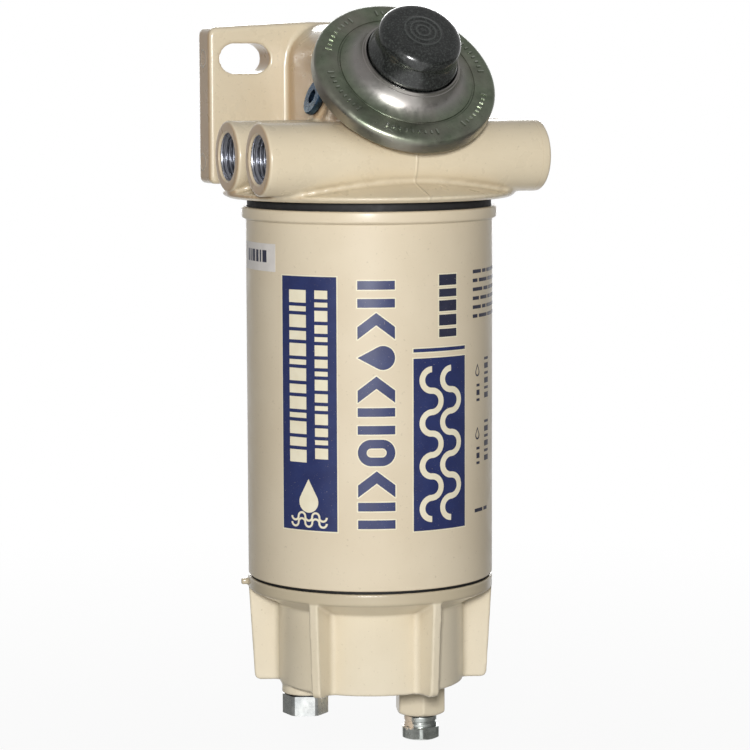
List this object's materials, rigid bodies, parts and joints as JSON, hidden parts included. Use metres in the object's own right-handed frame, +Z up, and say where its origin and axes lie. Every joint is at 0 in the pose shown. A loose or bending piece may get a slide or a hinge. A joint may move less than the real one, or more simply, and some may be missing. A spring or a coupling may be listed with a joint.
{
  "type": "fuel water separator",
  "caption": "Cast cream head with wall bracket and hand primer pump, a spin-on filter canister and a ribbed water bowl with a drain valve below.",
  "frame": {"origin": "on the back face of the bracket plate, midway between the two slots", "axes": "+Z up along the canister's axis, +X to the right along the port tubes, +Y into the wall"},
  "size_m": [0.1292, 0.1387, 0.3274],
  "materials": {
    "cast_paint": "satin cream enamel over die-cast aluminium",
    "can_paint": "gloss cream enamel over drawn steel",
    "bowl_paint": "satin cream enamel over die-cast aluminium",
    "cover_steel": "dark greenish passivated pressed steel",
    "knob_plastic": "moulded gloss black",
    "black_rubber": "matt black nitrile rubber",
    "zinc_steel": "bright zinc plate",
    "spring_steel": "bare spring steel",
    "sealing_washer": "bonded sealing washer",
    "filter_paper": "pleated water-shedding paper",
    "blue_ink": "screen-printed blue",
    "pale_ink": "screen-printed pale cream",
    "dark_ink": "screen-printed near black",
    "white_label": "matt paper label"
  },
  "bodies": {
    "head": {"head_casting": "cast_paint", "threaded_nipple": "zinc_steel", "port_plugs": "zinc_steel", "check_cage": "spring_steel", "check_spring": "spring_steel", "pump_cover": "cover_steel", "pump_diaphragm": "black_rubber", "pump_return_spring": "spring_steel"},
    "primer": {"primer_knob": "knob_plastic", "diaphragm_plate": "cover_steel"},
    "check_valve_ball": {"check_ball": "spring_steel"},
    "vent_washer": {"vent_seal": "sealing_washer"},
    "vent": {"vent_plug": "zinc_steel"},
    "gasket": {"head_gasket": "black_rubber"},
    "element": {"can_shell": "can_paint", "element_top_plate": "zinc_steel", "element_grommet": "black_rubber", "upper_end_cap": "zinc_steel", "pleated_media": "filter_paper", "centre_tube": "zinc_steel", "lower_end_cap": "zinc_steel", "element_spring": "spring_steel", "bowl_thread_ring": "zinc_steel", "print_keylines": "pale_ink", "blue_panels": "blue_ink", "centre_marks": "blue_ink", "panel_marks": "pale_ink", "dark_print": "dark_ink", "part_sticker": "white_label"},
    "bowl_gasket": {"bowl_seal": "black_rubber"},
    "bowl": {"bowl_casting": "bowl_paint", "probe_plug": "zinc_steel", "probe_plug_washer": "sealing_washer"},
    "drain_washer": {"drain_seal": "sealing_washer"},
    "drain": {"drain_valve": "zinc_steel"}
  },
  "joints": [
    {"name": "primer_press", "type": "slide", "parent": "head", "child": "primer", "axis": [0, 0.7254, -0.6884], "range_m": [0, 0.0085], "stiffness_N_per_m": 900, "springref_m": -0.004, "deforming": ["pump_diaphragm", "pump_return_spring"]},
    {"name": "check_ball_lift", "type": "slide", "parent": "head", "child": "check_valve_ball", "axis": [0, 0, -1], "range_m": [0, 0.002], "stiffness_N_per_m": 60, "springref_m": -0.002, "deforming": ["check_spring"]},
    {"name": "vent_travel", "type": "slide", "parent": "head", "child": "vent_washer", "axis": [-0.9397, 0, 0.342], "range_m": [0, 0.00525]},
    {"name": "vent_turn", "type": "hinge", "parent": "vent_washer", "child": "vent", "pos_m": [-0.0218, -0.0635, -0.0173], "axis": [-0.9397, 0, 0.342], "range_deg": [0, 1260.2]},
    {"name": "element_travel", "type": "slide", "parent": "head", "child": "gasket", "axis": [0, 0, -1], "range_m": [0, 0.0127]},
    {"name": "element_turn", "type": "hinge", "parent": "gasket", "child": "element", "pos_m": [0, -0.068, -0.0639], "axis": [0, 0, -1], "range_deg": [0, 2520]},
    {"name": "bowl_travel", "type": "slide", "parent": "element", "child": "bowl_gasket", "axis": [0, 0, -1], "range_m": [0, 0.009]},
    {"name": "bowl_turn", "type": "hinge", "parent": "bowl_gasket", "child": "bowl", "pos_m": [0, -0.068, -0.2272], "axis": [0, 0, -1], "range_deg": [0, 1080]},
    {"name": "drain_travel", "type": "slide", "parent": "bowl", "child": "drain_washer", "axis": [0, 0, -1], "range_m": [0, 0.00381]},
    {"name": "drain_turn", "type": "hinge", "parent": "drain_washer", "child": "drain", "pos_m": [0.0262, -0.0629, -0.2939], "axis": [0, 0, -1], "range_deg": [0, 1080.2]}
  ],
  "couplings": [
    {"joint": "vent_turn", "follows": "vent_travel", "rad_per_m": 4188.8},
    {"joint": "element_travel", "follows": "element_turn", "m_per_rad": 0.00028871},
    {"joint": "bowl_travel", "follows": "bowl_turn", "m_per_rad": 0.00047746},
    {"joint": "drain_turn", "follows": "drain_travel", "rad_per_m": 4947.4}
  ]
}
